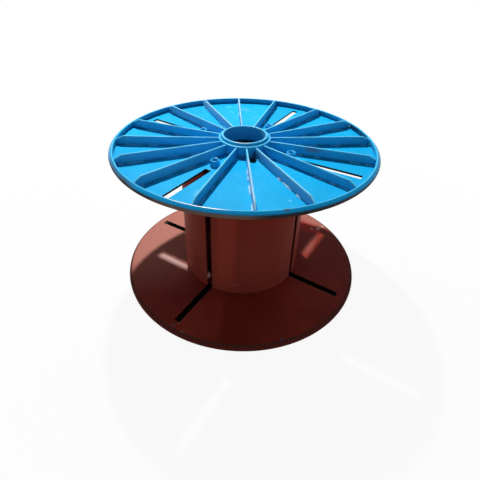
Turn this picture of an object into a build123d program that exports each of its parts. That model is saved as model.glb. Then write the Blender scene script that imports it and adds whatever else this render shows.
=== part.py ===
from build123d import *
import math
import os

# Flanges: pressed sheet discs whose edges are bent up and folded back in over a narrow crest
flange_radius = 400.0
sheet = 4.0
traverse = 431.0             # winding width, between the inner faces of the flanges
edge_round = 13.5            # outside radius from the inner face to the widest line of the rim
shoulder_round = 6.0         # outside radius above the widest line
crest_round = 3.7            # outside radius along the top of the rim
crest_from_edge = 9.8        # from the widest line to the middle of the crest
rim_height = 23.5            # from the inner face to the top of the rim
lip_drop = 12.7              # from the top of the rim down to the end of its inner lip
outside_step = 50.0          # most degrees between the short flats that stand for the bends
inside_step = 90.0           # the same, on the side of the sheet that the lip hides

# Strap slots: four in each flange, in line with the gaps between the barrel plates
slot_count = 4
slot_width = 20.0
slot_inside_barrel = 10.0    # how far a slot runs in past the barrel's outer side
slot_to_rim = 20.5           # from a slot's outer end to the bend of the rim

# Barrel: four curved plates, one between each two strap slots
barrel_radius = 198.0
barrel_plate = 4.0

# Hub: a tube from end to end, and a thick collar round it on each flange
bore_radius = 63.5
tube_wall = 6.35
tube_bevel = 1.5
collar_wall = 9.65
collar_height = 30.5
tube_above_collar = 7.5

# Ribs: flat bars on edge, from the collar to the rim, with the top outer corner cut off
ribs_between_slots = 4
rib_turn = 21.2              # degrees from one rib to the next, between two slots
rib_height = 29.5
rib_thickness = 5.0
rib_corner_drop = 10.0
rib_corner_cut = 20.5
rib_to_bend = 1.5            # from a rib's outer end to the bend of the rim

# Bosses: short thick tubes on the lines of the strap slots
boss_radius = 13.5
boss_hole = 8.0
boss_height = 18.5
boss_place = 157.0

# Drive hole: one in each flange, against the collar, midway between two slots
drive_hole_width = 20.0
drive_hole_reach = 114.5
drive_hole_angle = -45.0

tube_radius = bore_radius + tube_wall
collar_radius = tube_radius + collar_wall
hub_height = collar_height + tube_above_collar
lower_inner_face = hub_height + sheet
upper_inner_face = lower_inner_face + traverse
overall_height = upper_inner_face + sheet + hub_height
bend_radius = flange_radius - edge_round
slot_inner = barrel_radius - slot_inside_barrel
slot_outer = bend_radius - slot_to_rim
rib_reach = bend_radius - rib_to_bend
slot_angles = [360.0 / slot_count * step for step in range(slot_count)]
rib_angles = [slot_angle + 180.0 / slot_count + rib_turn * (rib - (ribs_between_slots - 1) / 2)
              for slot_angle in slot_angles for rib in range(ribs_between_slots)]


def side_profile(points):
    # A closed outline in the plane of the axis, as (radius, height) points
    return Plane.XZ * make_face(Polyline(*points, close=True))


def rolled(centre, radius, start, finish, step):
    # The outline of a bend, in flats that touch its circle, with half a flat at each end
    flats = math.ceil((finish - start) / step)
    turn = math.radians((finish - start) / flats)
    reach = radius / math.cos(turn / 2)
    corners = [math.radians(start) + turn * (flat + 0.5) for flat in range(flats)]
    return [(centre[0] + reach * math.cos(corner), centre[1] + reach * math.sin(corner))
            for corner in corners]


def lean(shoulder, crest):
    # The direction, in degrees, that the side between the two bends faces
    across, up = crest[0] - shoulder[0], crest[1] - shoulder[1]
    apart = math.acos((shoulder_round - crest_round) / math.hypot(across, up))
    return math.degrees(math.atan2(up, across) - apart)


def flange_section():
    # The sheet runs out flat, bends up, leans in over the crest and hangs down as a lip
    bend = (bend_radius, edge_round)
    shoulder = (flange_radius - shoulder_round, edge_round)
    crest = (flange_radius - crest_from_edge, rim_height - crest_round)
    side = lean(shoulder, crest)
    lip = crest[0] - crest_round
    lip_end = rim_height - lip_drop
    outside = rolled(bend, edge_round, -90, 0, outside_step)
    outside += rolled(shoulder, shoulder_round, 0, side, outside_step)
    outside += rolled(crest, crest_round, side, 90, outside_step)
    outside += rolled(crest, crest_round, 90, 180, outside_step)
    inside = rolled(bend, edge_round - sheet, -90, 0, inside_step)
    inside += rolled(shoulder, shoulder_round - sheet, 0, side, inside_step)
    return ([(tube_radius, 0)] + outside + [(lip, lip_end), (crest[0], lip_end), crest]
            + inside[::-1] + [(tube_radius, sheet)])


def drive_hole():
    # A hole with a round outer end, whose inner end follows the collar's wall
    reach = drive_hole_reach - drive_hole_width / 2
    outline = Pos(reach / 2, 0) * Rectangle(reach, drive_hole_width)
    outline += Pos(reach, 0) * Circle(drive_hole_width / 2)
    outline -= Circle(collar_radius)
    return Rot(0, 0, drive_hole_angle) * extrude(outline, sheet)


def flange():
    # The inner face lies at height 0, and the rim stands up from it
    disc = revolve(side_profile(flange_section()), Axis.Z)
    slot = Pos((slot_inner + slot_outer) / 2, 0, sheet / 2) * Box(
        slot_outer - slot_inner, slot_width, sheet)
    hole = Pos(boss_place, 0, sheet / 2) * Cylinder(boss_hole, sheet)
    for angle in slot_angles:
        disc -= Rot(0, 0, angle) * slot
        disc -= Rot(0, 0, angle) * hole
    return disc - drive_hole()


def rib(angle):
    # The corners of the outer end lie on the circle that the ribs reach to
    end = math.sqrt(rib_reach ** 2 - (rib_thickness / 2) ** 2)
    outline = side_profile([
        (collar_radius, sheet),
        (end, sheet),
        (end, sheet + rib_height - rib_corner_drop),
        (end - rib_corner_cut, sheet + rib_height),
        (collar_radius, sheet + rib_height),
    ])
    return Rot(0, 0, angle) * extrude(outline, rib_thickness / 2, both=True)


def ring(inner, outer, low, high):
    return revolve(side_profile([(inner, low), (outer, low), (outer, high), (inner, high)]), Axis.Z)


def collar():
    return ring(tube_radius, collar_radius, sheet, sheet + collar_height)


def boss(angle):
    solid = ring(boss_hole, boss_radius, sheet, sheet + boss_height)
    return Rot(0, 0, angle) * Pos(boss_place, 0, 0) * solid


def hub_tube():
    section = side_profile([
        (bore_radius, 0),
        (tube_radius - tube_bevel, 0),
        (tube_radius, tube_bevel),
        (tube_radius, overall_height - tube_bevel),
        (tube_radius - tube_bevel, overall_height),
        (bore_radius, overall_height),
    ])
    return revolve(section, Axis.Z)


def barrel_plate_between_slots(angle):
    wall = Circle(barrel_radius) - Circle(barrel_radius - barrel_plate)
    side = barrel_radius
    quarter = Pos(side / 2 + slot_width / 2, side / 2 + slot_width / 2) * Rectangle(side, side)
    plate = extrude(wall & quarter, traverse)
    return Pos(0, 0, lower_inner_face) * Rot(0, 0, angle) * plate


def upper(solid):
    return Pos(0, 0, upper_inner_face) * solid


def lower(solid):
    return Pos(0, 0, lower_inner_face) * mirror(solid, Plane.XY)


def build():
    pieces = {"hub_tube": hub_tube()}
    for end, place in (("top", upper), ("bottom", lower)):
        pieces[f"flange_{end}"] = place(flange())
        pieces[f"collar_{end}"] = place(collar())
        for number, angle in enumerate(rib_angles, 1):
            pieces[f"rib_{end}_{number:02d}"] = place(rib(angle))
        for number, angle in enumerate(slot_angles, 1):
            pieces[f"boss_{end}_{number}"] = place(boss(angle))
    for number, angle in enumerate(slot_angles, 1):
        pieces[f"barrel_plate_{number}"] = barrel_plate_between_slots(angle)
    return pieces


os.makedirs("parts", exist_ok=True)
for name, solid in build().items():
    export_step(solid, f"parts/{name}.step")
print("overall height", overall_height)
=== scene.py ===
import math

import bmesh
import bpy
from mathutils import Matrix, Vector


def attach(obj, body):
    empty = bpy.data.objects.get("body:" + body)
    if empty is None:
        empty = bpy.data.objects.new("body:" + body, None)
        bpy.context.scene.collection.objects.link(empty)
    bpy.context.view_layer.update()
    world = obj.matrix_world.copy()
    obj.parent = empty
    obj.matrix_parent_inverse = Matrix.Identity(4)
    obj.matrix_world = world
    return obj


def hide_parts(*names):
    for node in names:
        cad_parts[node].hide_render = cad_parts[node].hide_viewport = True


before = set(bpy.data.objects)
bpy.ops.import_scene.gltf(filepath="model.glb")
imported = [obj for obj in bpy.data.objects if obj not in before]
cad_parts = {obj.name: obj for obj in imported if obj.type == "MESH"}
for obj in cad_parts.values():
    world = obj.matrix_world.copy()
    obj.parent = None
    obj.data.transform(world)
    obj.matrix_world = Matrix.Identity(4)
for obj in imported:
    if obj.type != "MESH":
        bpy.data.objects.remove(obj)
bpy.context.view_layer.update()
print("frame loaded:", len(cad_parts), "nodes")

# sizes shared by the pieces
reel = {
    "height": 0.515,
    "tubeRadius": 0.06985,
    "collarRadius": 0.0795,
    "hubFace": 0.4735,  # outer face of the upper disc where the collar stands on it
    "rimFace": 0.4800,  # the same face beside the rim, a little further out
    "rimStart": 0.386,
    "sheet": 0.004,
    "seat": 0.0002,  # how deep the foot of a piece stands in the disc
    "slotTurns": (0, 90, 180, 270),
    "slotWidth": 0.020,
    "bossPlace": 0.157,  # from the axis
    "bossHole": 0.008,
    "ribSteps": (-1.5, -0.5, 0.5, 1.5),  # the ribs between two slots, counted from the middle
    "ribSpacing": 21.2,
}
midHeight = reel["height"] / 2
ribTurns = [slot + 45 + reel["ribSpacing"] * step
            for slot in reel["slotTurns"] for step in reel["ribSteps"]]


def discFace(radius):
    # height of the upper disc's outer face
    slope = (reel["rimFace"] - reel["hubFace"]) / (reel["rimStart"] - reel["collarRadius"])
    return reel["hubFace"] + slope * (radius - reel["collarRadius"])


# modelling helpers
def clearSelection():
    if bpy.context.object and bpy.context.object.mode != "OBJECT":
        bpy.ops.object.mode_set(mode="OBJECT")
    bpy.ops.object.select_all(action="DESELECT")


def takeUp(piece):
    clearSelection()
    piece.select_set(True)
    bpy.context.view_layer.objects.active = piece


def started(name):
    # the primitive that was just added, its place put into its mesh
    piece = bpy.context.object
    piece.name = name
    piece.data.name = name
    bpy.ops.object.transform_apply(location=True, rotation=True, scale=True)
    return piece


def box(name, centre, size):
    clearSelection()
    bpy.ops.mesh.primitive_cube_add(size=1, location=centre, scale=size)
    return started(name)


def turned(name, outline, sides, closed=True):
    # a circle drawn out from one (radius, height) to the next
    clearSelection()
    radius, height = outline[0]
    bpy.ops.mesh.primitive_circle_add(vertices=sides, radius=radius, location=(0, 0, height))
    piece = started(name)
    bpy.ops.object.mode_set(mode="EDIT")
    bpy.ops.mesh.select_all(action="SELECT")
    for nextRadius, nextHeight in outline[1:] + (outline[:1] if closed else []):
        bpy.ops.mesh.extrude_edges_indiv()
        grow = nextRadius / radius
        bpy.ops.transform.resize(value=(grow, grow, 1), center_override=(0, 0, 0))
        bpy.ops.transform.translate(value=(0, 0, nextHeight - height))
        radius, height = nextRadius, nextHeight
    bpy.ops.mesh.select_all(action="SELECT")
    bpy.ops.mesh.remove_doubles(threshold=0.00001)
    bpy.ops.mesh.normals_make_consistent(inside=False)
    bpy.ops.object.mode_set(mode="OBJECT")
    return piece


def pickUpright(piece, start=0.0):
    # selects in edit mode the upright edges that lie further along X than start
    mesh = bmesh.from_edit_mesh(piece.data)
    for part in list(mesh.verts) + list(mesh.edges) + list(mesh.faces):
        part.select = False
    for edge in mesh.edges:
        one, other = edge.verts
        if abs(one.co.z - other.co.z) > 0.01 and one.co.x > start:
            edge.select_set(True)
    mesh.select_flush_mode()
    bmesh.update_edit_mesh(piece.data)


def bisected(place, facing, clear):
    # cuts off all that lies beyond a plane (outer) or behind it (inner), in edit mode
    bpy.ops.mesh.select_all(action="SELECT")
    bpy.ops.mesh.bisect(plane_co=place, plane_no=facing, use_fill=True,
                        clear_outer=clear == "outer", clear_inner=clear == "inner")


def shifted(piece, x=0.0, y=0.0):
    piece.location = (x, y, 0)
    takeUp(piece)
    bpy.ops.object.transform_apply(location=True)


def swung(piece, turn):
    # turned about the reel's axis
    piece.rotation_euler.z = math.radians(turn)
    takeUp(piece)
    bpy.ops.object.transform_apply(rotation=True)
    return piece


def applied(piece, kind, settings):
    takeUp(piece)
    modifier = piece.modifiers.new(kind.title(), kind)
    for setting, value in settings.items():
        setattr(modifier, setting, value)
    bpy.ops.object.modifier_apply(modifier=modifier.name)


def eased(piece, width, segments, angle):
    # softens the edges that are sharper than the angle
    applied(piece, "BEVEL", {
        "width": width, "segments": segments, "limit_method": "ANGLE",
        "angle_limit": math.radians(angle), "use_clamp_overlap": True, "harden_normals": False})


def smoothed(piece, angle):
    takeUp(piece)
    bpy.ops.object.shade_smooth_by_angle(angle=math.radians(angle))
    return piece


def joined(pieces, name):
    takeUp(pieces[0])
    for piece in pieces:
        piece.select_set(True)
    bpy.ops.object.join()
    pieces[0].name = name
    pieces[0].data.name = name
    return pieces[0]


def cutOut(piece, cutter):
    applied(piece, "BOOLEAN", {"object": cutter, "operation": "DIFFERENCE", "solver": "EXACT"})
    bpy.data.objects.remove(cutter)


def copied(source, name, turn=0.0, turnedOver=False, overLine=0.0):
    # a copy with its own mesh, turned about the axis, or laid upside down on the other end
    clearSelection()
    copy = source.copy()
    copy.data = source.data.copy()
    copy.name = name
    copy.data.name = name
    bpy.context.collection.objects.link(copy)
    place = Matrix.Identity(4)
    if turnedOver:
        line = Matrix.Rotation(math.radians(overLine), 4, "Z")
        lift = Matrix.Translation((0, 0, reel["height"]))
        place = line @ lift @ Matrix.Rotation(math.pi, 4, "X") @ line.inverted()
    copy.matrix_world = Matrix.Rotation(math.radians(turn), 4, "Z") @ place
    takeUp(copy)
    bpy.ops.object.transform_apply(location=True, rotation=True, scale=True)
    return copy


def finished(piece, material, slot, *nodes):
    piece.data.materials.clear()
    piece.data.materials.append(material)
    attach(piece, "root")
    if nodes:
        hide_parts(*nodes)


def arc(centre, radius, start, finish, steps):
    # (radius, height) points of a bend
    points = []
    for step in range(steps + 1):
        angle = math.radians(start + (finish - start) * step / steps)
        points.append((centre[0] + radius * math.cos(angle), centre[1] + radius * math.sin(angle)))
    return points


# material helpers
def colour(red, green, blue):
    # a colour as seen on a screen, 0 to 255
    def linear(part):
        part /= 255
        return part / 12.92 if part <= 0.04045 else ((part + 0.055) / 1.055) ** 2.4
    return (linear(red), linear(green), linear(blue), 1)


class Value:
    # a socket that can be used in sums
    def __init__(self, recipe, socket):
        self.recipe = recipe
        self.socket = socket

    def sum(self, operation, *terms):
        inputs = dict(enumerate(terms))
        return self.recipe.node("ShaderNodeMath", {"operation": operation}, inputs)

    def __add__(self, other):
        return self.sum("ADD", self, other)

    def __radd__(self, other):
        return self.sum("ADD", other, self)

    def __sub__(self, other):
        return self.sum("SUBTRACT", self, other)

    def __rsub__(self, other):
        return self.sum("SUBTRACT", other, self)

    def __mul__(self, other):
        return self.sum("MULTIPLY", self, other)

    def __rmul__(self, other):
        return self.sum("MULTIPLY", other, self)

    def __abs__(self):
        return self.sum("ABSOLUTE", self)

    def root(self):
        return self.sum("SQRT", self)

    def sign(self):
        return self.sum("SIGN", self)

    def most(self, other):
        return self.sum("MAXIMUM", self, other)

    def rise(self, low, high):
        # 0 below low, 1 above high, and smooth between
        settings = {"interpolation_type": "SMOOTHSTEP", "clamp": True}
        return self.recipe.node("ShaderNodeMapRange", settings,
                                {"Value": self, "From Min": low, "From Max": high})

    def fall(self, low, high):
        return 1 - self.rise(low, high)


class Recipe:
    # one material, or the world, and the nodes in it
    def __init__(self, name, tree=None):
        if not tree:
            self.material = bpy.data.materials.new(name)
            self.material.use_nodes = True
            tree = self.material.node_tree
        self.tree = tree
        self.tree.nodes.clear()
        self.place = self.node("ShaderNodeTexCoord", output="Object")
        apart = self.node("ShaderNodeSeparateXYZ", {}, {0: self.place}, output=None)
        self.x, self.y, self.z = [Value(self, socket) for socket in apart.outputs]
        self.radius = (self.x * self.x + self.y * self.y).root()

    def node(self, kind, settings=None, inputs=None, output=0):
        made = self.tree.nodes.new(kind)
        for setting, value in (settings or {}).items():
            setattr(made, setting, value)
        for socket, value in (inputs or {}).items():
            if isinstance(value, Value):
                self.tree.links.new(value.socket, made.inputs[socket])
            else:
                made.inputs[socket].default_value = value
        return made if output is None else Value(self, made.outputs[output])

    def vector(self, operation, *terms, output="Vector"):
        inputs = dict(enumerate(terms))
        return self.node("ShaderNodeVectorMath", {"operation": operation}, inputs, output)

    def stretched(self, scale, turn=(0, 0, 0)):
        inputs = {"Vector": self.place, "Scale": scale, "Rotation": turn}
        return self.node("ShaderNodeMapping", {}, inputs)

    def noise(self, scale, detail, roughness=0.5, at=None):
        return self.node("ShaderNodeTexNoise", {}, {
            "Vector": at or self.place, "Scale": scale, "Detail": detail, "Roughness": roughness})

    def spots(self, scale, at=None):
        return self.node("ShaderNodeTexVoronoi", {}, {"Vector": at or self.place, "Scale": scale})

    def mix(self, factor, first, second):
        inputs = {0: factor, 6: first, 7: second}
        return self.node("ShaderNodeMix", {"data_type": "RGBA"}, inputs, output=2)

    def mark(self, centre, size):
        # 1 at the centre of a round or long mark, 0 outside it
        share = self.vector("DIVIDE", self.vector("SUBTRACT", self.place, centre), size)
        return self.vector("LENGTH", share, output="Value").fall(0.45, 1.0)

    def streak(self, start, end, width):
        # 1 along a straight line between two places, 0 away from it
        run = Vector(end) - Vector(start)
        away = self.vector("SUBTRACT", self.place, start)
        along = self.vector("DOT_PRODUCT", away, run.normalized(), output="Value")
        across = self.vector("CROSS_PRODUCT", away, run.normalized())
        beside = self.vector("LENGTH", across, output="Value")
        return (beside.fall(width * 0.4, width) * along.rise(-width, width)
                * along.fall(run.length - width, run.length + width))

    def marked(self, base, paint, marks):
        # marks laid over one after the other: tone, strength, centre and size
        for tone, strength, centre, size in marks:
            base = self.mix(self.mark(centre, size) * strength, base, paint[tone])
        return base

    def streaked(self, base, paint, streaks):
        # the same with streaks: tone, strength, start, end and width
        for tone, strength, start, end, width in streaks:
            base = self.mix(self.streak(start, end, width) * strength, base, paint[tone])
        return base

    def shader(self, base, roughness, relief, depth, strength, settings=None):
        bump = self.node("ShaderNodeBump", {}, {
            "Strength": strength, "Distance": depth, "Height": relief})
        inputs = {"Base Color": base, "Roughness": roughness, "Normal": bump,
                  "Specular IOR Level": 0.2}
        inputs.update(settings or {})
        return self.node("ShaderNodeBsdfPrincipled", {}, inputs)

    def finish(self, shader):
        self.node("ShaderNodeOutputMaterial", {}, {"Surface": shader}, output=None)
        return self.material


white = (1, 1, 1, 1)
bluePaint = {
    "deep": colour(0, 172, 232),
    "light": colour(6, 190, 248),
    "dusty": colour(110, 205, 245),
    "edge": colour(108, 218, 255),
    "bright": colour(214, 238, 252),
    "white": white,
    "wearAndSheen": colour(196, 210, 230),
    "weld": colour(116, 204, 240),
    "worn": colour(190, 204, 216),
    "bore": colour(50, 184, 255),
    "rim": colour(4, 166, 246),
    "rust": colour(104, 62, 44),
    "grime": colour(12, 40, 70),
    "black": colour(6, 8, 14),
    "soil": colour(60, 58, 54),
    "mud": colour(84, 76, 66),
    "stain": colour(140, 48, 66),
    "clay": colour(164, 134, 122),
    "roughness": 0.42,
}
ribPaint = dict(bluePaint, deep=colour(34, 176, 228), light=colour(50, 190, 240))
redPrimer = {
    "deep": colour(148, 48, 36),
    "light": colour(176, 68, 52),
    "dusty": colour(196, 132, 116),
    "pale": colour(226, 196, 188),
    "crimson": colour(222, 60, 52),
    "warm": colour(232, 98, 76),
    "bare": colour(96, 104, 120),
    "dark": colour(24, 14, 12),
    "trodden": colour(120, 46, 36),
    "roughness": 0.45,
}


def blueCoat(recipe, paint):
    # colour, roughness and relief of the blue enamel
    broad = recipe.noise(4.5, 2.0).rise(0.3, 0.7)
    patchy = recipe.noise(26.0, 4.0, 0.6).rise(0.35, 0.8)
    base = recipe.mix(broad * 0.6 + patchy * 0.25, paint["deep"], paint["light"])
    specks = recipe.spots(90.0).fall(0.08, 0.20) * recipe.noise(14.0, 2.0).rise(0.46, 0.56)
    base = recipe.mix(specks * 0.8, base, paint["dusty"])
    grain = recipe.noise(360.0, 2.0, 0.6)
    base = recipe.mix(grain.rise(0.50, 0.75) * 0.30, base, paint["dusty"])
    haze = recipe.noise(9.0, 5.0, 0.65).rise(0.6, 0.85)
    base = recipe.mix(haze * 0.15, base, paint["dusty"])
    askew = recipe.stretched((1.0, 1.0, 1.0), (0.4, 0.2, 0.9))
    pits = recipe.spots(60.0, askew).fall(0.02, 0.07) * recipe.noise(20.0, 2.0).rise(0.55, 0.65)
    base = recipe.mix(pits * 0.6, base, paint["grime"])
    roughness = paint["roughness"] + 0.16 * patchy + 0.1 * haze
    relief = recipe.noise(210.0, 2.0) * 0.4 + recipe.noise(38.0, 3.0) * 0.6
    return base, roughness, relief + specks * 0.6 - pits * 0.6


def redCoat(recipe):
    # colour, roughness and relief of the red oxide primer
    tall = recipe.noise(5.0, 3.0, 0.55, recipe.stretched((1.0, 1.0, 0.22))).rise(0.3, 0.72)
    grain = recipe.noise(420.0, 2.0, 0.6)
    blotch = recipe.noise(17.0, 5.0, 0.6).rise(0.45, 0.8)
    base = recipe.mix(tall * 0.7 + blotch * 0.25, redPrimer["deep"], redPrimer["light"])
    base = recipe.mix(grain.rise(0.55, 0.85) * 0.14, base, redPrimer["dusty"])
    wiped = recipe.stretched((1.0, 6.0, 1.0), (0, 0, 0.7))
    scuffs = recipe.noise(7.0, 6.0, 0.7, wiped).rise(0.66, 0.78)
    base = recipe.mix(scuffs * 0.22, base, redPrimer["dusty"])
    chips = recipe.spots(34.0).fall(0.03, 0.07) * recipe.noise(6.0, 2.0).rise(0.57, 0.63)
    base = recipe.mix(chips * 0.7, base, redPrimer["bare"])
    roughness = redPrimer["roughness"] + 0.12 * blotch
    relief = grain * 0.5 + recipe.noise(60.0, 3.0) * 0.5 - chips * 1.2
    return base, roughness, relief


# discs with their folded rims
disc = {
    "radius": 0.400,
    "edgeRound": 0.0135,
    "shoulder": 0.006,
    "crest": (0.3902, 0.4958),  # middle of the small round along the top of the rim
    "crestRound": 0.0037,
    "lipEnd": 0.4868,
    "sides": 288,
    "slotEdge": 0.0058,  # the sheet's depth along the slots
    "slotMargin": 0.002,  # and so far past their ends
    "slotInner": 0.188,
    "slotOuter": 0.366,
    "slotCorner": 0.0015,
    "cutterHeight": 0.03,
    "holeSides": 40,
    "driveWidth": 0.020,
    "driveReach": 0.1145,
    "driveTurn": -45,
    "edgeWear": 0.0005,
    # where a highlight is painted on the rim and where its gloss is gone: centre and size
    "shine": ((0.100, -0.370, 0.4995), (0.11, 0.04, 0.02)),
    "flat": ((0.060, 0.386, 0.4985), (0.16, 0.05, 0.02)),
    # soil round the outside of the rim: centre and size
    "mud": ((-0.165, -0.360, 0.490), (0.12, 0.12, 0.05)),
    "clay": ((0.120, -0.375, 0.485), (0.18, 0.12, 0.08)),
    # dark streaks on the lip: start, end and width
    "lipStreaks": (
        ((0.2266, 0.3131, 0.4915), (0.2700, 0.2766, 0.4912), 0.009),
        ((0.2700, 0.2766, 0.4912), (0.3080, 0.2335, 0.4908), 0.009),
    ),
    # marks: tone, strength, centre and size
    "blueMarks": (
        ("rust", 0.6, (0.2826, -0.2788, 0.4990), (0.012, 0.011, 0.004)),
        # painted highlights: white glints on the rim wall by the far rib ends
        ("white", 0.95, (0.2235, 0.3153, 0.4890), (0.006, 0.006, 0.005)),
        ("white", 0.95, (0.3130, 0.2268, 0.4895), (0.005, 0.006, 0.005)),
        ("dusty", 0.75, (-0.1918, 0.2247, 0.4765), (0.012, 0.007, 0.02)),
        ("dusty", 0.75, (0.2562, -0.2097, 0.4765), (0.006, 0.006, 0.02)),
        ("dusty", 0.3, (-0.1517, 0.1895, 0.4765), (0.006, 0.020, 0.02)),
        ("dusty", 0.3, (-0.1636, 0.2713, 0.4765), (0.030, 0.020, 0.02)),
        ("dusty", 0.3, (-0.2300, 0.2600, 0.4765), (0.014, 0.022, 0.02)),
        ("dusty", 0.3, (-0.0950, 0.2300, 0.4765), (0.008, 0.020, 0.02)),
        ("dusty", 0.3, (0.0600, -0.3000, 0.4765), (0.030, 0.030, 0.02)),
    ),
    # tones over the lower disc: dust with painted light on the left, painted shadow in front of
    # the barrel, a painted glow and painted light on the far right; tone, strength, centre and
    # size
    "redTones": (
        ("dusty", 0.72, (-0.32, 0.0, 0.04), (0.36, 0.42, 0.1)),
        ("dark", 0.22, (0.13, -0.26, 0.04), (0.24, 0.22, 0.1)),
        ("crimson", 0.75, (0.138, 0.288, 0.04), (0.070, 0.045, 0.04)),
        ("dusty", 0.65, (0.14, 0.370, 0.04), (0.13, 0.075, 0.04)),
    ),
    "redMarks": (
        # painted shade: a dark mark on the disc inside the barrel, seen through the front slot
        ("dark", 0.6, (-0.045, -0.143, 0.0415), (0.034, 0.038, 0.01)),
        ("bare", 0.8, (-0.0007, -0.3827, 0.0395), (0.006, 0.008, 0.006)),
        ("bare", 0.8, (0.2939, -0.2525, 0.0395), (0.007, 0.006, 0.006)),
        ("pale", 0.8, (0.1780, 0.3037, 0.0405), (0.010, 0.016, 0.006)),
        ("pale", 0.8, (0.1860, 0.3290, 0.0405), (0.008, 0.008, 0.006)),
        ("pale", 0.8, (0.1560, 0.2900, 0.0405), (0.006, 0.010, 0.006)),
        ("dusty", 0.6, (0.0365, -0.3864, 0.0395), (0.010, 0.004, 0.006)),
        ("dusty", 0.6, (0.0110, -0.3700, 0.0395), (0.004, 0.006, 0.006)),
    ),
    # streaks and scratches: the first two are painted light where light falls through the upper
    # slots; tone, strength, start, end and width
    "redStreaks": (
        ("pale", 0.5, (-0.245, -0.167, 0.042), (-0.120, -0.172, 0.042), 0.018),
        ("dusty", 0.25, (0.181, 0.250, 0.042), (0.193, 0.140, 0.042), 0.022),
        ("dusty", 0.35, (0.0234, -0.2769, 0.0413), (0.0620, -0.3180, 0.0405), 0.0028),
        ("dusty", 0.18, (0.0620, -0.3180, 0.0405), (0.1056, -0.3624, 0.0393), 0.0020),
        ("dusty", 0.7, (-0.3896, -0.0186, 0.0400), (-0.3440, -0.0690, 0.0400), 0.0040),
        ("dusty", 0.3, (-0.3000, -0.1600, 0.0403), (-0.2300, -0.2300, 0.0403), 0.0022),
    ),
    # painted light and shade: a lighter patch of primer, and the soft line where it ends in
    # painted shade: its direction and place
    "patch": ("warm", 0.19, (0.075, -0.315, 0.04), (0.11, 0.15, 0.04)),
    "patchEnd": (0.884, 0.467, 0.0385),
}


def blueSide(recipe, blue, fromCrest, outward, lip):
    # pale along the top of the rim with a painted highlight, greyer on the lip, with smudges on
    # the sheet and painted glints
    fromTop = abs(recipe.z - midHeight) - (disc["crest"][1] + disc["crestRound"] - midHeight)
    crest = fromCrest.rise(-0.0034, -0.0022) * fromCrest.fall(0.0010, 0.0024)
    crest = crest * outward.rise(0.80, 0.97)
    blue = recipe.mix(crest * fromTop.rise(-0.0020, -0.0008) * 0.55, blue, bluePaint["edge"])
    # painted highlight on the crest of the near rim
    blue = recipe.mix(recipe.mark(*disc["shine"]) * crest * 0.9, blue, bluePaint["white"])
    wall = outward.fall(0.85, 0.97) * fromCrest.rise(0.0013, 0.0028)
    blue = recipe.mix(wall * 0.6, blue, bluePaint["rim"])
    # the lip's wall is greyer and darker
    blue = recipe.mix(lip * abs(outward).fall(0.3, 0.8) * 0.42, blue, bluePaint["soil"])
    for place in disc["lipStreaks"]:
        blue = recipe.mix(recipe.streak(*place) * lip * 0.8, blue, bluePaint["black"])
    return recipe.marked(blue, bluePaint, disc["blueMarks"])


def redSide(recipe, red):
    # dustier on the left, with painted light, shadow and glow on the lower disc, and scratches and
    # chips
    red = recipe.marked(red, redPrimer, disc["redTones"])
    # painted light on one side of a soft painted edge of shade
    tone, strength, centre, size = disc["patch"]
    across, along, place = disc["patchEnd"]
    beyond = (across * recipe.x + along * recipe.y + place).rise(-0.010, 0.010)
    red = recipe.mix(recipe.mark(centre, size) * (1 - beyond) * strength, red, redPrimer[tone])
    red = recipe.streaked(red, redPrimer, disc["redStreaks"])
    return recipe.marked(red, redPrimer, disc["redMarks"])


def makeDiscPaint():
    # blue on the outer side, primer on the inner side up to the widest line of the rim
    recipe = Recipe("discPaint")
    blue, blueRough, blueRelief = blueCoat(recipe, bluePaint)
    red, redRough, redRelief = redCoat(recipe)
    normal = recipe.node("ShaderNodeNewGeometry", output="Normal")
    tilt = recipe.node("ShaderNodeSeparateXYZ", {}, {0: normal}, output="Z")
    outward = tilt * (recipe.z - midHeight).sign()
    fromCrest = recipe.radius - disc["crest"][0]
    fromLip = abs(recipe.z - midHeight) - (disc["lipEnd"] - midHeight)
    rim = fromCrest.rise(-0.0017, 0.0023)
    lip = fromLip.rise(-0.0023, -0.0008) * fromCrest.fall(0.0013, 0.0028)
    primer = (outward + recipe.noise(45.0, 4.0, 0.6) * 0.3 - 0.15).fall(-0.16, 0.06) * (1 - lip)
    blue = blueSide(recipe, blue, fromCrest, outward, lip)
    red = redSide(recipe, red)

    # both sides have soil round the outside of the rim and dark walls in the holes
    smear = 0.8 + 0.2 * recipe.noise(22.0, 4.0, 0.6).rise(0.4, 0.65)
    muddy = recipe.mark(*disc["mud"]) * outward.fall(0.60, 0.98)
    muddy = muddy * fromCrest.rise(-0.0012, 0.0023) * smear
    rubbed = outward.fall(0.15, 0.75) * rim * (0.6 + 0.4 * smear)
    soil = recipe.mix(recipe.mark(*disc["clay"]), bluePaint["soil"], bluePaint["clay"])
    trodden = (recipe.z + reel["rimFace"] - reel["height"]).fall(-0.001, 0.005) * rim
    dull = rubbed.most(muddy).most(trodden)
    wall = abs(outward).fall(0.35, 0.7) * (recipe.radius - disc["slotOuter"]).fall(0.004, 0.010)
    flat = recipe.mark(*disc["flat"]) * 0.85

    def soiled(base):
        base = recipe.mix(muddy, base, bluePaint["mud"])
        base = recipe.mix(rubbed * (1 - muddy * 0.4), base, soil)
        base = recipe.mix(trodden * 0.9, base, redPrimer["trodden"])
        return recipe.mix(wall, base, bluePaint["black"])

    coat = (1 - dull.most(wall).most(flat)) * 0.4
    gloss = recipe.shader(
        soiled(blue), blueRough, blueRelief, depth=0.0004, strength=0.5,
        settings={"Specular IOR Level": 0.08, "Coat Weight": coat, "Coat Roughness": 0.15})
    matt = recipe.shader(
        soiled(red), redRough.most(dull * 0.95), redRelief, depth=0.0004, strength=0.5,
        settings={"Specular IOR Level": 0.3})
    shares = {0: primer.most(trodden), 1: gloss, 2: matt}
    return recipe.finish(recipe.node("ShaderNodeMixShader", {}, shares))


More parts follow.
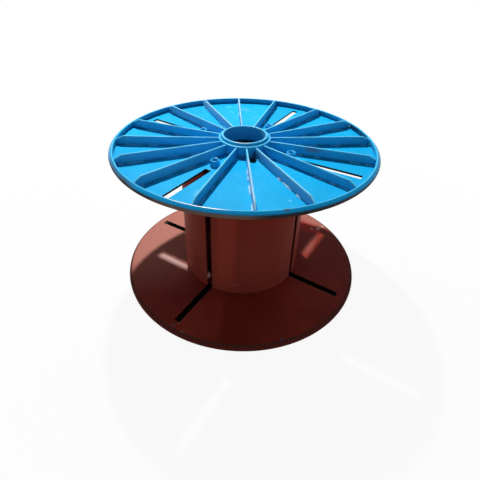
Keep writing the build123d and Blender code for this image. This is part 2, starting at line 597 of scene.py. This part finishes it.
def discOutline():
    # the sheet runs out, bends up, leans back in over a narrow crest and hangs down as a lip
    sheet = reel["sheet"]
    inside = reel["rimFace"] - sheet
    bend = (disc["radius"] - disc["edgeRound"], inside + disc["edgeRound"])
    shoulder = (disc["radius"] - disc["shoulder"], bend[1])
    crest, small = disc["crest"], disc["crestRound"]
    across, up = crest[0] - shoulder[0], crest[1] - shoulder[1]
    apart = math.acos((disc["shoulder"] - small) / math.hypot(across, up))
    lean = math.degrees(math.atan2(up, across) - apart)
    lip, lipEnd = crest[0] - small, disc["lipEnd"]
    inner, outer = disc["slotInner"] - disc["slotMargin"], disc["slotOuter"] + disc["slotMargin"]

    # under the sheet and round the outside, then over its end and back on top of the sheet
    outline = [(reel["tubeRadius"], discFace(reel["tubeRadius"]) - sheet),
               (0.150, discFace(0.150) - sheet),
               (inner, discFace(inner) - disc["slotEdge"]),
               (outer, discFace(outer) - disc["slotEdge"])]
    outline += arc(bend, disc["edgeRound"], -90, 0, 10)
    outline += arc(shoulder, disc["shoulder"], 0, lean, 5)[1:]
    outline += arc(crest, small, lean, 180, 9)
    outline += [(lip, lipEnd + 0.0012), (lip + 0.0009, lipEnd),
                (lip + 0.0024, lipEnd), (lip + 0.0033, lipEnd + 0.0012)]
    outline += [(lip + 0.0036, crest[1] - 0.0040), (crest[0] + 0.0012, crest[1] - 0.0027),
                (shoulder[0] + 0.0006, crest[1] - 0.0043)]
    outline += arc(bend, disc["edgeRound"] - sheet, 0, -90, 8)
    return outline + [(0.2, discFace(0.2)), (reel["tubeRadius"], discFace(reel["tubeRadius"]))]


def slotCutter(turn):
    length = disc["slotOuter"] - disc["slotInner"]
    cutter = box("slotCutter", (disc["slotInner"] + length / 2, 0, reel["rimFace"]),
                 (length, reel["slotWidth"], disc["cutterHeight"]))
    bpy.ops.object.mode_set(mode="EDIT")
    pickUpright(cutter)
    bpy.ops.mesh.bevel(offset=disc["slotCorner"], segments=3, affect="EDGES")
    bpy.ops.object.mode_set(mode="OBJECT")
    return swung(cutter, turn)


def holeCutter(turn):
    clearSelection()
    angle = math.radians(turn)
    across, along = reel["bossPlace"] * math.cos(angle), reel["bossPlace"] * math.sin(angle)
    bpy.ops.mesh.primitive_cylinder_add(
        vertices=disc["holeSides"], radius=reel["bossHole"], depth=disc["cutterHeight"],
        location=(across, along, reel["hubFace"]))
    return started("holeCutter")


def driveCutter(turn):
    # a box whose outer end is drawn out and rounded
    end = disc["driveReach"] - disc["driveWidth"] / 2
    start = reel["collarRadius"] - 0.001
    cutter = box("driveCutter", ((start + end) / 2, 0, reel["hubFace"]),
                 (end - start, disc["driveWidth"], disc["cutterHeight"]))
    bpy.ops.object.mode_set(mode="EDIT")
    pickUpright(cutter, end - 0.001)
    bpy.ops.transform.translate(value=(disc["driveWidth"] / 2, 0, 0))
    # a hair under half the width, so that the two rounds don't meet
    bpy.ops.mesh.bevel(offset=disc["driveWidth"] / 2 - 0.00002, segments=10, affect="EDGES")
    bpy.ops.object.mode_set(mode="OBJECT")
    return swung(cutter, turn)


discPaint = makeDiscPaint()
discTop = turned("flange_top_steel", discOutline(), disc["sides"])
cutters = [slotCutter(turn) for turn in reel["slotTurns"]]
cutters += [holeCutter(turn) for turn in reel["slotTurns"]]
cutters += [driveCutter(disc["driveTurn"])]
for cutter in cutters:
    cutOut(discTop, cutter)
eased(discTop, disc["edgeWear"], segments=2, angle=50)
smoothed(discTop, 35)
discBottom = copied(discTop, "flange_bottom_steel", turnedOver=True, overLine=disc["driveTurn"])
finished(discTop, discPaint, "blue_paint", "flange_top")
finished(discBottom, discPaint, "blue_paint", "flange_bottom")
print("discs made:", len(discTop.data.polygons), "faces each")

# ribs
rib = {
    "thickness": 0.005,
    "reach": 0.3862,
    "topAtHub": 0.5040,  # the bars stand on the disc, so their tops rise a little too
    "topAtRim": 0.5090,
    "cornerDrop": 0.0105,
    "cornerCut": 0.0215,
    "intoCollar": 0.0005,
    "edge": 0.0013,
    # bars that aren't quite in place: number, degrees and sideways shift
    "strays": {6: (0.0, 0.0038), 11: (-0.9, 0.0012), 13: (0.4, 0.0), 14: (0.4, 0.0010),
               15: (0.5, 0.0)},
    # paler bars, some from wear and some painted light on sides the light grazes: turn, radius
    # where it starts and strength
    "pale": ((214.4, 0.09, 0.03), (235.6, 0.09, 0.05), (256.8, 0.09, 0.05), (145.6, 0.09, 0.42),
             (166.8, 0.09, 0.14), (325.6, 0.09, 0.22), (124.4, 0.10, 0.55), (304.4, 0.15, 0.62)),
    "paleEnd": 0.385,
    "paleHeights": (0.490, 0.494),  # at the start and at the end
    "paleWidth": 0.028,
    # marks: tone, strength, centre and size
    "marks": (
        ("stain", 0.45, (0.2010, 0.0471, 0.4974), (0.034, 0.016, 0.010)),
        ("rust", 0.7, (-0.0437, -0.1864, 0.4783), (0.003, 0.004, 0.003)),
        ("grime", 0.85, (0.1051, -0.1535, 0.4763), (0.004, 0.004, 0.006)),
        ("grime", 0.85, (0.1834, -0.2679, 0.4857), (0.003, 0.003, 0.006)),
        # painted highlights: light marks on the rib ends by the far rim
        ("edge", 0.85, (0.0889, 0.3791, 0.4956), (0.004, 0.006, 0.004)),
        ("edge", 0.85, (0.2200, 0.3213, 0.4950), (0.005, 0.007, 0.005)),
        ("edge", 0.85, (0.3187, 0.2182, 0.4950), (0.006, 0.004, 0.004)),
    ),
}


def makeBarBlue():
    recipe = Recipe("barBlue")
    base, roughness, relief = blueCoat(recipe, ribPaint)
    side = abs(recipe.z - midHeight)
    # light along the top edge and the cut corner, dust and a painted highlight, scraped here and
    # there
    cut = (recipe.radius - rib["reach"] + rib["cornerCut"]).most(0.0)
    slope = (rib["topAtRim"] - rib["topAtHub"]) / (rib["reach"] - reel["collarRadius"])
    top = (rib["topAtHub"] - midHeight + (recipe.radius - reel["collarRadius"]) * slope
           - cut * (rib["cornerDrop"] / rib["cornerCut"]))
    edge = (side - top).rise(-0.0022, -0.0012)
    uneven = 0.75 + 0.25 * recipe.noise(35.0, 4.0, 0.7).rise(0.4, 0.65)
    base = recipe.mix(edge * uneven, base, bluePaint["edge"])
    scraped = edge * recipe.noise(48.0, 5.0, 0.75).rise(0.62, 0.70)
    base = recipe.mix(scraped * 0.4, base, bluePaint["worn"])
    # painted shade: darker at the foot of each bar
    foot = (side - (discFace(recipe.radius) - midHeight)).fall(0.0, 0.0075)
    base = recipe.mix(foot * 0.45, base, bluePaint["grime"])
    # a few bars are paler than the others, from wear and from painted light
    low, high = [Vector((0, 0, height)) for height in rib["paleHeights"]]
    for turn, start, strength in rib["pale"]:
        way = Vector((math.cos(math.radians(turn)), math.sin(math.radians(turn)), 0))
        pale = recipe.streak(way * start + low, way * rib["paleEnd"] + high, rib["paleWidth"])
        base = recipe.mix(pale * strength, base, bluePaint["wearAndSheen"])
    base = recipe.marked(base, bluePaint, rib["marks"])
    knocks = recipe.spots(30.0, recipe.stretched((1.0, 1.0, 1.6))).fall(0.05, 0.12)
    knocks = knocks * recipe.noise(11.0, 2.0).rise(0.52, 0.6)
    base = recipe.mix(knocks * 0.55 * (1 - edge), base, bluePaint["grime"])
    return recipe.finish(recipe.shader(base, roughness, relief, depth=0.0005, strength=0.6))


def makeRib():
    low = discFace(reel["collarRadius"]) - 5 * reel["seat"]  # the foot is cut off along the disc
    length = rib["reach"] - reel["collarRadius"] + rib["intoCollar"]
    rise = (rib["topAtRim"] - rib["topAtHub"]) / length
    slope = discFace(1) - discFace(0)
    piece = box("ribBlank", (rib["reach"] - length / 2, 0, (rib["topAtRim"] + low) / 2),
                (length, rib["thickness"], rib["topAtRim"] - low))
    bpy.ops.object.mode_set(mode="EDIT")
    # the top slopes, its outer corner is cut off, and the foot follows the disc
    bisected((rib["reach"], 0, rib["topAtRim"]), (-rise, 0, 1), "outer")
    bisected((rib["reach"], 0, rib["topAtRim"] - rib["cornerDrop"]),
             (rib["cornerDrop"], 0, rib["cornerCut"]), "outer")
    bisected((reel["collarRadius"], 0, discFace(reel["collarRadius"]) - reel["seat"]),
             (-slope, 0, 1), "inner")
    bpy.ops.mesh.select_all(action="SELECT")
    bpy.ops.mesh.normals_make_consistent(inside=False)
    bpy.ops.object.mode_set(mode="OBJECT")
    eased(piece, rib["edge"], segments=3, angle=20)
    return smoothed(piece, 40)


def stray(number):
    return rib["strays"].get(number, (0.0, 0.0))


barBlue = makeBarBlue()
ribBlank = makeRib()
for number, turn in enumerate(ribTurns, 1):
    twist, sideways = stray(number)
    shifted(ribBlank, y=sideways)
    top = copied(ribBlank, f"rib_top_{number:02d}_steel", turn + twist)
    bottom = copied(ribBlank, f"rib_bottom_{number:02d}_steel", turn + twist, turnedOver=True)
    shifted(ribBlank, y=-sideways)
    finished(top, barBlue, "blue_paint", f"rib_top_{number:02d}")
    finished(bottom, barBlue, "blue_paint", f"rib_bottom_{number:02d}")
bpy.data.objects.remove(ribBlank)
print("ribs made")

# hub tube and collars
hub = {
    "bore": 0.0635,
    "tubeRound": 0.0016,
    "collarTop": 0.5075,
    "collarRound": 0.0018,
    "sides": 160,
    # edge of the light that falls into the bore: its direction, place and slope
    "light": ((0.86, 0.51), 0.035, 0.96),
    # marks: tone, strength, centre and size
    "marks": (
        ("worn", 0.7, (0.0300, -0.0600, 0.515), (0.030, 0.018, 0.003)),
        ("soil", 0.75, (0.0650, -0.0460, 0.4830), (0.012, 0.012, 0.016)),
        ("dusty", 0.6, (-0.0130, -0.0784, 0.4823), (0.004, 0.004, 0.009)),
    ),
}


def makeHubBlue():
    recipe = Recipe("hubBlue")
    base, roughness, relief = blueCoat(recipe, bluePaint)
    side = abs(recipe.z - midHeight)
    fromTube, fromCollar = recipe.radius - reel["tubeRadius"], recipe.radius - reel["collarRadius"]
    fromEnd, fromTop = side - midHeight, side - (hub["collarTop"] - midHeight)
    fromDisc = side - (reel["hubFace"] - midHeight)
    # the edges of the tube's end and of the collar catch the light
    tubeEdge = fromEnd.rise(-0.0020, -0.0009) * fromTube.fall(0.00065, 0.00165)
    collarEdge = fromTop.rise(-0.0020, -0.0008) * fromCollar.rise(-0.0033, -0.0017)
    collarEdge = collarEdge * fromCollar.fall(0.0005, 0.0015)
    base = recipe.mix((tubeEdge + collarEdge) * 0.75, base, bluePaint["edge"])
    # darker between tube and collar, and round the collar's foot
    groove = fromTube.rise(-0.00015, 0.00015) * fromTube.fall(0.00095, 0.00235)
    groove = groove * fromTop.rise(-0.0060, -0.0035) * fromTop.fall(-0.0005, 0.0005)
    base = recipe.mix(groove * 0.7, base, bluePaint["grime"])
    foot = fromCollar.rise(-0.0055, -0.0015) * fromCollar.fall(0.0045, 0.0085)
    base = recipe.mix(foot * fromDisc.fall(0.0020, 0.0140) * 0.5, base, bluePaint["grime"])
    base = recipe.marked(base, bluePaint, hub["marks"])
    # painted light and shade in the bore: its wall is lighter, black deep down, with a wedge of
    # light at its mouth
    inside = (recipe.radius - hub["bore"]).fall(0.0005, 0.0020)
    base = recipe.mix(inside * 0.8, base, bluePaint["bore"])
    base = recipe.mix(inside * fromEnd.fall(-0.0515, -0.0395) * 0.95, base, bluePaint["black"])
    (across, along), place, slope = hub["light"]
    wedge = across * recipe.x + along * recipe.y - place + fromEnd * slope
    base = recipe.mix(inside * wedge.rise(-0.0012, 0.0012) * 0.5, base, bluePaint["dusty"])
    return recipe.finish(recipe.shader(base, roughness, relief, depth=0.0004, strength=0.6,
                                       settings={"Coat Weight": 0.5, "Coat Roughness": 0.25}))


def tubeOutline():
    soft, height = hub["tubeRound"], reel["height"]
    inner, outer = hub["bore"] + soft, reel["tubeRadius"] - soft
    corners = ((outer, height - soft), (inner, height - soft), (inner, soft), (outer, soft))
    return [point for step, corner in enumerate(corners)
            for point in arc(corner, soft, 90 * step, 90 * step + 90, 4)]


def collarOutline():
    # the weld bead round the foot is part of the outline
    inner, outer = reel["tubeRadius"], reel["collarRadius"]
    top, soft = hub["collarTop"], hub["collarRound"]
    foot = discFace(outer) - reel["seat"]
    return ([(inner, foot), (outer + 0.0042, foot), (outer + 0.0030, foot + 0.0022),
             (outer + 0.0008, foot + 0.0042), (outer, foot + 0.0062)]
            + arc((outer - soft, top - soft), soft, 0, 90, 4)
            + [(inner + 0.0030, top), (inner + 0.0012, top - 0.0016), (inner, top - 0.0030)])


hubBlue = makeHubBlue()
tube = turned("hub_tube_steel", tubeOutline(), hub["sides"])
finished(smoothed(tube, 40), hubBlue, "blue_paint", "hub_tube")
collarTop = smoothed(turned("collar_top_steel", collarOutline(), hub["sides"]), 40)
collarBottom = copied(collarTop, "collar_bottom_steel", turnedOver=True)
finished(collarTop, hubBlue, "blue_paint", "collar_top")
finished(collarBottom, hubBlue, "blue_paint", "collar_bottom")
print("hub and collars made")

# bosses
boss = {
    "radius": 0.0135,
    "tops": (0.4972, 0.4938, 0.4940, 0.4936),
    "round": 0.0018,
    "sides": 40,
}


def bossOutline(top):
    # the weld bead round the foot is part of the outline here too
    outer, hole, soft = boss["radius"], reel["bossHole"], boss["round"]
    foot = discFace(reel["bossPlace"]) - 2 * reel["seat"]
    return ([(hole, foot), (outer + 0.0016, foot), (outer + 0.0012, foot + 0.0014),
             (outer, foot + 0.0034)]
            + arc((outer - soft, top - soft), soft, 0, 90, 4)
            + [(hole + 0.0020, top), (hole + 0.0008, top - 0.0010), (hole, top - 0.0028)])


for number, (turn, top) in enumerate(zip(reel["slotTurns"], boss["tops"]), 1):
    blank = smoothed(turned("bossBlank", bossOutline(top), boss["sides"]), 40)
    shifted(blank, x=reel["bossPlace"])
    upper = copied(blank, f"boss_top_{number}_steel", turn)
    lower = copied(blank, f"boss_bottom_{number}_steel", turn, turnedOver=True)
    finished(upper, hubBlue, "blue_paint", f"boss_top_{number}")
    finished(lower, hubBlue, "blue_paint", f"boss_bottom_{number}")
    bpy.data.objects.remove(blank)
print("bosses made")

# barrel
barrel = {
    "radius": 0.198,
    "plate": 0.004,
    "edge": 0.0006,
    "sides": 192,
    # marks: tone, strength, centre and size
    "marks": (
        ("dark", 0.8, (0.1504, -0.1288, 0.0802), (0.004, 0.004, 0.003)),
        ("dark", 0.8, (0.0420, -0.1935, 0.0650), (0.006, 0.006, 0.004)),
        ("dusty", 0.15, (0.0864, -0.1782, 0.0802), (0.020, 0.020, 0.012)),
        # painted light: lighter on the right side of the barrel
        ("dusty", 0.12, (0.196, -0.026, 0.12), (0.04, 0.06, 0.20)),
    ),
    # streaks: tone, strength, start, end and width; this one is painted light, a soft lighter band
    # down the front of the barrel
    "streaks": (
        ("warm", 0.28, (0.056, -0.190, 0.060), (0.060, -0.189, 0.400), 0.040),
    ),
}


def makeBarrelPrimer():
    recipe = Recipe("barrelPrimer")
    base, roughness, relief = redCoat(recipe)
    base = recipe.marked(base, redPrimer, barrel["marks"])
    base = recipe.mix(recipe.z.fall(0.10, 0.42) * 0.12, base, redPrimer["dusty"])
    base = recipe.streaked(base, redPrimer, barrel["streaks"])
    return recipe.finish(recipe.shader(base, roughness + 0.12, relief, depth=0.0003, strength=0.5,
                                       settings={"Specular IOR Level": 0.1}))


def makeBarrel():
    outer, inner = barrel["radius"], barrel["radius"] - barrel["plate"]
    high = discFace(outer) - reel["sheet"] + reel["seat"]
    low = reel["height"] - high
    outline = [(outer, low), (outer, high), (inner, high), (inner, low)]
    wall = turned("barrelWall", outline, barrel["sides"])
    for turn in (0, 90):
        # longer and higher than the barrel, so that it cuts through both sides
        cutter = box("barrelCutter", (0, 0, midHeight), (3 * outer, reel["slotWidth"], 2 * high))
        cutOut(wall, swung(cutter, turn))
    eased(wall, barrel["edge"], segments=2, angle=50)
    takeUp(wall)
    bpy.ops.object.mode_set(mode="EDIT")
    bpy.ops.mesh.separate(type="LOOSE")
    bpy.ops.object.mode_set(mode="OBJECT")
    return list(bpy.context.selected_objects)


barrelPrimer = makeBarrelPrimer()
for piece in makeBarrel():
    middle = sum((vertex.co for vertex in piece.data.vertices), Vector())
    number = int((math.degrees(math.atan2(middle.y, middle.x)) % 360) // 90) + 1
    piece.name = f"barrel_plate_{number}_steel"
    piece.data.name = piece.name
    smoothed(piece, 40)
    finished(piece, barrelPrimer, "red_primer", f"barrel_plate_{number}")
print("barrel made")

# weld beads along the ribs
bead = {
    "length": 0.034,
    # radius and distance along the bead
    "outline": [(0.0006, 0), (0.0028, 0.003), (0.0038, 0.009), (0.0030, 0.014), (0.0040, 0.020),
                (0.0032, 0.026), (0.0026, 0.031), (0.0006, 0.034)],
    "sides": 6,
    "lift": 0.0004,
    "pastRib": 0.002,  # how far a bead may run past a rib's outer end
    "places": (0.100, 0.158, 0.215, 0.272, 0.328, 0.366),
    "wander": 0.012,
    "stretch": 0.45,
    # rows of beads with a painted highlight: start, end and width
    "shine": (
        ((0.100, -0.146, 0.477), (0.216, -0.315, 0.479), 0.016),
        ((0.124, -0.085, 0.477), (0.300, -0.206, 0.479), 0.016),
    ),
}


def makeBeadBlue():
    recipe = Recipe("beadBlue")
    base, roughness, relief = blueCoat(recipe, bluePaint)
    crust = recipe.noise(130.0, 4.0, 0.7)
    base = recipe.mix(0.3 + crust.rise(0.42, 0.6) * 0.6, base, bluePaint["weld"])
    # painted highlight: two rows of beads are painted bright
    first, second = [recipe.streak(*row) for row in bead["shine"]]
    shine = first.most(second) * crust.rise(0.35, 0.5)
    base = recipe.mix(shine * 0.8, base, bluePaint["bright"])
    return recipe.finish(recipe.shader(base, roughness + 0.1, relief + crust * 2.0,
                                       depth=0.0006, strength=0.5))


def makeStitch():
    # a short bead, lumpy along its length, lying along X
    piece = turned("stitch", bead["outline"], bead["sides"], closed=False)
    bpy.ops.object.mode_set(mode="EDIT")
    bpy.ops.mesh.select_all(action="DESELECT")
    bpy.ops.mesh.select_non_manifold(extend=False)
    bpy.ops.mesh.fill_holes(sides=bead["sides"])
    bpy.ops.mesh.select_all(action="SELECT")
    bpy.ops.mesh.normals_make_consistent(inside=False)
    bpy.ops.object.mode_set(mode="OBJECT")
    piece.rotation_euler.y = math.radians(90)
    bpy.ops.object.transform_apply(rotation=True)
    return smoothed(piece, 60)


def laid(stitch, number, order, place, side):
    # a copy of the stitch beside a rib, a little longer or shorter than the last one
    twist, sideways = stray(number + 1)
    shift = bead["wander"] * math.sin(number * 2.3 + order * 4.1 + side)
    stretch = 1.0 + bead["stretch"] * math.sin(number * 5.9 + order * 2.7 + side * 1.3)
    half = bead["length"] * stretch / 2
    middle = min(place + shift, rib["reach"] + bead["pastRib"] - half)
    across = sideways + side * (rib["thickness"] / 2 + bead["lift"])
    piece = stitch.copy()
    piece.data = stitch.data.copy()
    bpy.context.collection.objects.link(piece)
    turn = Matrix.Rotation(math.radians(ribTurns[number] + twist), 4, "Z")
    start = Matrix.Translation((middle - half, across, discFace(middle) + bead["lift"]))
    piece.matrix_world = turn @ start @ Matrix.Diagonal((stretch, 1, 1, 1))
    return piece


beadBlue = makeBeadBlue()
stitch = makeStitch()
stitches = []
for number in range(len(ribTurns)):
    for order, place in enumerate(bead["places"]):
        for side in (-1, 1):
            if (number * 5 + order * 3 + side) % 4:  # welded here and there
                stitches.append(laid(stitch, number, order, place, side))
bpy.data.objects.remove(stitch)
for piece in stitches:
    takeUp(piece)
    bpy.ops.object.transform_apply(location=True, rotation=True, scale=True)
beadsTop = joined(stitches, "rib_beads_top")
beadsBottom = copied(beadsTop, "rib_beads_bottom", turnedOver=True)
finished(beadsTop, beadBlue, "blue_paint")
finished(beadsBottom, beadBlue, "blue_paint")
print("beads made:", len(stitches))

# floor, light and camera
studio = {
    "floorSize": 60.0,
    "floorHeight": -0.0005,
    "floorSeen": 0.9,  # the floor as the camera sees it, and as it lights the reel
    "floorTone": 0.24,
    "floorGlow": 0.93,  # how white it is near the reel, and the distances where it gets whiter
    "glowEdge": (0.5, 1.5),
    "shadeTone": (0.05, 0.045, 0.04, 1),  # painted shadow: the dark patch under the reel
    "shadePlace": (-0.024, 0.041, 0),
    "shadeEdge": (0.392, 0.410),
    "lampPlace": (-0.92, 0.755, 2.46),
    "lampAim": (0.0, 0.0, 0.40),
    "lampSize": 0.10,
    "lampPower": 66.0,
    "zenith": 0.125,
    "horizon": 0.55,
    "horizonTop": 0.42,
    # where the horizon is lighter or darker: direction, where it begins and by how much
    "glows": (
        ((-0.86, -0.51, 0), 0.1, 0.9),
        ((0.99, 0.12, 0), 0.2, 0.7),
        ((0.51, -0.86, 0), 0.1, -0.35),
    ),
    "cameraPlace": (0.55665, -0.93584, 0.97403),
    "cameraTurn": (57.386, -1.224, 32.024),
    "lens": 28.88,
    "sensor": 36.0,
    "shiftY": -40 / 480,
    "nearest": 0.05,
    "furthest": 200.0,
}

clearSelection()
bpy.ops.mesh.primitive_plane_add(size=studio["floorSize"], location=(0, 0, studio["floorHeight"]))
floor = started("floor")


def grey(tone):
    return (tone, tone, tone, 1)


def makeFloor():
    # white to the camera with a light shadow, and greyer as a reflector of light onto the reel
    recipe = Recipe("paleFloor")
    rays = recipe.node("ShaderNodeLightPath", output=None).outputs
    kinds = ("Is Camera Ray", "Is Glossy Ray", "Is Transmission Ray")
    straight, glossy, through = [Value(recipe, rays[kind]) for kind in kinds]
    direct = straight.most(glossy).most(through)
    # painted shadow: the dark patch under the reel reaches a little away from the camera
    away = recipe.vector("DISTANCE", recipe.place, studio["shadePlace"], output="Value")
    outside = away.rise(*studio["shadeEdge"])
    further = recipe.radius.rise(*studio["glowEdge"])
    lit = direct * outside * (studio["floorGlow"] + (1 - studio["floorGlow"]) * further)
    tone = recipe.mix(direct * outside, grey(studio["floorTone"]), grey(studio["floorSeen"]))
    tone = recipe.mix(outside, studio["shadeTone"], tone)
    plain = recipe.node("ShaderNodeBsdfDiffuse", {}, {"Color": tone})
    glow = recipe.node("ShaderNodeEmission", {}, {"Color": white, "Strength": 1.0})
    return recipe.finish(recipe.node("ShaderNodeMixShader", {}, {0: lit, 1: plain, 2: glow}))


floor.data.materials.append(makeFloor())


def makeWorld():
    # brightest along the horizon, and plain white behind
    world = bpy.data.worlds.new("studio")
    world.use_nodes = True
    recipe = Recipe("studioSky", world.node_tree)
    way = recipe.node("ShaderNodeTexCoord", output="Generated")
    up = recipe.node("ShaderNodeSeparateXYZ", {}, {0: way}, output="Z")
    low = 1.0
    for direction, begin, share in studio["glows"]:
        facing = recipe.vector("DOT_PRODUCT", way, direction, output="Value")
        low = low + share * facing.rise(begin, 1.0)
    low = studio["horizon"] * low
    strength = studio["zenith"] + (low - studio["zenith"]) * up.fall(0.0, studio["horizonTop"])
    sky = recipe.node("ShaderNodeBackground", {}, {"Color": white, "Strength": strength})
    plain = recipe.node("ShaderNodeBackground", {}, {"Color": white, "Strength": 1.0})
    seen = recipe.node("ShaderNodeLightPath", output="Is Camera Ray")
    both = recipe.node("ShaderNodeMixShader", {}, {0: seen, 1: sky, 2: plain})
    recipe.node("ShaderNodeOutputWorld", {}, {"Surface": both}, output=None)
    return world


bpy.context.scene.world = makeWorld()

clearSelection()
bpy.ops.object.light_add(type="AREA", location=studio["lampPlace"])
lamp = bpy.context.object
lamp.name = "softLamp"
lamp.data.shape = "DISK"
lamp.data.size = studio["lampSize"]
lamp.data.energy = studio["lampPower"]
aim = Vector(studio["lampAim"]) - Vector(studio["lampPlace"])
lamp.rotation_euler = aim.to_track_quat("-Z", "Y").to_euler()

clearSelection()
bpy.ops.object.camera_add(location=studio["cameraPlace"],
                          rotation=[math.radians(turn) for turn in studio["cameraTurn"]])
camera = bpy.context.object
camera.data.lens = studio["lens"]
camera.data.sensor_width = studio["sensor"]
camera.data.shift_y = studio["shiftY"]
camera.data.clip_start = studio["nearest"]
camera.data.clip_end = studio["furthest"]
bpy.context.scene.camera = camera
bpy.context.scene.view_settings.view_transform = "Standard"
print("floor, light and camera set")

clearSelection()
